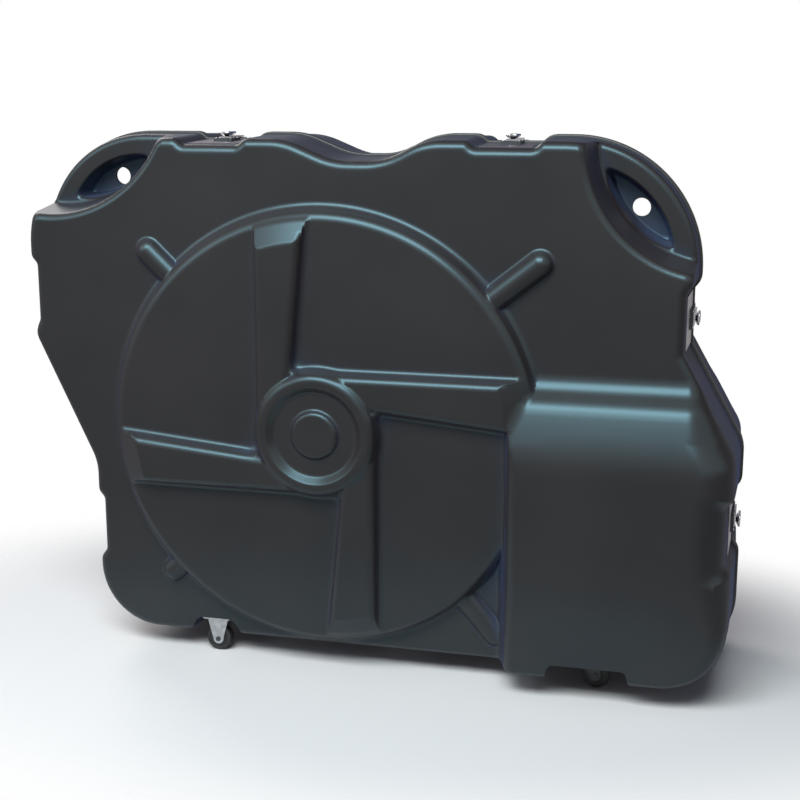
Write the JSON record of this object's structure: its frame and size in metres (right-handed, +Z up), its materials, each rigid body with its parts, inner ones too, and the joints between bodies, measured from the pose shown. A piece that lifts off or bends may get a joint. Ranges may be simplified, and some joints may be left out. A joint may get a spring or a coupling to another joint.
{
  "type": "bike travel case",
  "caption": "Hard two-shell bicycle travel case with a round wheel relief, a crank bulge, corner grips, twist latches, bottom hinges and casters.",
  "frame": {"origin": "floor level under the middle of the case", "axes": "+X along the case towards the crank bulge, +Y through the case from the front half to the rear half, +Z up"},
  "size_m": [1.1392, 0.356, 0.8446],
  "materials": {
    "shell_plastic": "satin",
    "rim_plastic": "satin",
    "seal_rubber": "matte",
    "liner_foam": "matte",
    "post_tube": "satin",
    "post_cups": "matte",
    "latch_plate": "brushed",
    "latch_chrome": "polished",
    "hinge_steel": "brushed",
    "wheel_rubber": "matte",
    "caster_steel": "zinc plated"
  },
  "bodies": {
    "rear_half": {"crush_post": "post_tube", "crush_post_cups": "post_cups", "hinge_leaves_rear": "hinge_steel", "hinge_pins": "hinge_steel", "hinge_rivets_rear": "hinge_steel", "latch_strikes": "latch_chrome", "rear_caster_left_axle": "caster_steel", "rear_caster_left_fork": "caster_steel", "rear_caster_right_plate": "caster_steel", "rear_caster_screws": "caster_steel", "rear_foam": "liner_foam", "rear_rim": "rim_plastic", "rear_shell": "shell_plastic", "rim_seal": "seal_rubber", "strike_rivets": "latch_chrome"},
    "front_half": {"front_caster_left_axle": "caster_steel", "front_caster_left_fork": "caster_steel", "front_caster_right_plate": "caster_steel", "front_caster_screws": "caster_steel", "front_foam": "liner_foam", "front_rim": "rim_plastic", "front_shell": "shell_plastic", "hinge_leaves_front": "hinge_steel", "hinge_rivets_front": "hinge_steel", "latch_bases": "latch_chrome", "latch_plates": "latch_plate", "latch_rivets": "latch_chrome"},
    "wing_top_right": {"latch_wing_top_right": "latch_chrome"},
    "hook_top_right": {"latch_hook_top_right": "latch_chrome"},
    "wing_top_left": {"latch_wing_top_left": "latch_chrome"},
    "hook_top_left": {"latch_hook_top_left": "latch_chrome"},
    "wing_right_low": {"latch_wing_right_low": "latch_chrome"},
    "hook_right_low": {"latch_hook_right_low": "latch_chrome"},
    "wing_right_high": {"latch_wing_right_high": "latch_chrome"},
    "hook_right_high": {"latch_hook_right_high": "latch_chrome"},
    "wing_left_high": {"latch_wing_left_high": "latch_chrome"},
    "hook_left_high": {"latch_hook_left_high": "latch_chrome"},
    "wing_left_low": {"latch_wing_left_low": "latch_chrome"},
    "hook_left_low": {"latch_hook_left_low": "latch_chrome"},
    "front_left_wheel": {"front_caster_left_wheel": "wheel_rubber"},
    "front_right_fork": {"front_caster_right_fork": "caster_steel", "front_caster_right_axle": "caster_steel"},
    "front_right_wheel": {"front_caster_right_wheel": "wheel_rubber"},
    "rear_left_wheel": {"rear_caster_left_wheel": "wheel_rubber"},
    "rear_right_fork": {"rear_caster_right_fork": "caster_steel", "rear_caster_right_axle": "caster_steel"},
    "rear_right_wheel": {"rear_caster_right_wheel": "wheel_rubber"}
  },
  "joints": [
    {"name": "lid_hinge", "type": "hinge", "parent": "rear_half", "child": "front_half", "pos_m": [0, 0, 0.022], "axis": [1, 0, 0], "range_deg": [0, 120]},
    {"name": "wing_top_right_turn", "type": "hinge", "parent": "front_half", "child": "wing_top_right", "pos_m": [0.208, -0.03, 0.83], "axis": [0, 0, 1], "range_deg": [0, 180]},
    {"name": "hook_top_right_draw", "type": "slide", "parent": "front_half", "child": "hook_top_right", "axis": [0, 1, 0], "range_m": [0, 0.005]},
    {"name": "wing_top_left_turn", "type": "hinge", "parent": "front_half", "child": "wing_top_left", "pos_m": [-0.25, -0.03, 0.83], "axis": [0, 0, 1], "range_deg": [0, 180]},
    {"name": "hook_top_left_draw", "type": "slide", "parent": "front_half", "child": "hook_top_left", "axis": [0, 1, 0], "range_m": [0, 0.005]},
    {"name": "wing_right_low_turn", "type": "hinge", "parent": "front_half", "child": "wing_right_low", "pos_m": [0.555, -0.03, 0.268], "axis": [1, 0, 0], "range_deg": [0, 180]},
    {"name": "hook_right_low_draw", "type": "slide", "parent": "front_half", "child": "hook_right_low", "axis": [0, 1, 0], "range_m": [0, 0.005]},
    {"name": "wing_right_high_turn", "type": "hinge", "parent": "front_half", "child": "wing_right_high", "pos_m": [0.481, -0.03, 0.576], "axis": [1, 0, 0], "range_deg": [0, 180]},
    {"name": "hook_right_high_draw", "type": "slide", "parent": "front_half", "child": "hook_right_high", "axis": [0, 1, 0], "range_m": [0, 0.005]},
    {"name": "wing_left_high_turn", "type": "hinge", "parent": "front_half", "child": "wing_left_high", "pos_m": [-0.555, -0.03, 0.59], "axis": [-1, 0, 0], "range_deg": [0, 180]},
    {"name": "hook_left_high_draw", "type": "slide", "parent": "front_half", "child": "hook_left_high", "axis": [0, 1, 0], "range_m": [0, 0.005]},
    {"name": "wing_left_low_turn", "type": "hinge", "parent": "front_half", "child": "wing_left_low", "pos_m": [-0.455, -0.03, 0.206], "axis": [-1, 0, 0], "range_deg": [0, 180]},
    {"name": "hook_left_low_draw", "type": "slide", "parent": "front_half", "child": "hook_left_low", "axis": [0, 1, 0], "range_m": [0, 0.005]},
    {"name": "front_left_wheel_spin", "type": "hinge", "parent": "front_half", "child": "front_left_wheel", "pos_m": [-0.259, -0.096, 0.021], "axis": [0, 1, 0], "continuous": true},
    {"name": "front_right_swivel", "type": "hinge", "parent": "front_half", "child": "front_right_fork", "pos_m": [0.35, -0.096, 0.05], "axis": [0, 0, 1], "continuous": true},
    {"name": "front_right_wheel_spin", "type": "hinge", "parent": "front_right_fork", "child": "front_right_wheel", "pos_m": [0.364, -0.096, 0.021], "axis": [0, 1, 0], "continuous": true},
    {"name": "rear_left_wheel_spin", "type": "hinge", "parent": "rear_half", "child": "rear_left_wheel", "pos_m": [-0.259, 0.096, 0.021], "axis": [0, 1, 0], "continuous": true},
    {"name": "rear_right_swivel", "type": "hinge", "parent": "rear_half", "child": "rear_right_fork", "pos_m": [0.35, 0.096, 0.05], "axis": [0, 0, 1], "continuous": true},
    {"name": "rear_right_wheel_spin", "type": "hinge", "parent": "rear_right_fork", "child": "rear_right_wheel", "pos_m": [0.364, 0.096, 0.021], "axis": [0, 1, 0], "continuous": true}
  ],
  "couplings": [
    {"joint": "hook_top_right_draw", "follows": "wing_top_right_turn", "m_per_rad": 0.00159},
    {"joint": "hook_top_left_draw", "follows": "wing_top_left_turn", "m_per_rad": 0.00159},
    {"joint": "hook_right_low_draw", "follows": "wing_right_low_turn", "m_per_rad": 0.00159},
    {"joint": "hook_right_high_draw", "follows": "wing_right_high_turn", "m_per_rad": 0.00159},
    {"joint": "hook_left_high_draw", "follows": "wing_left_high_turn", "m_per_rad": 0.00159},
    {"joint": "hook_left_low_draw", "follows": "wing_left_low_turn", "m_per_rad": 0.00159}
  ]
}
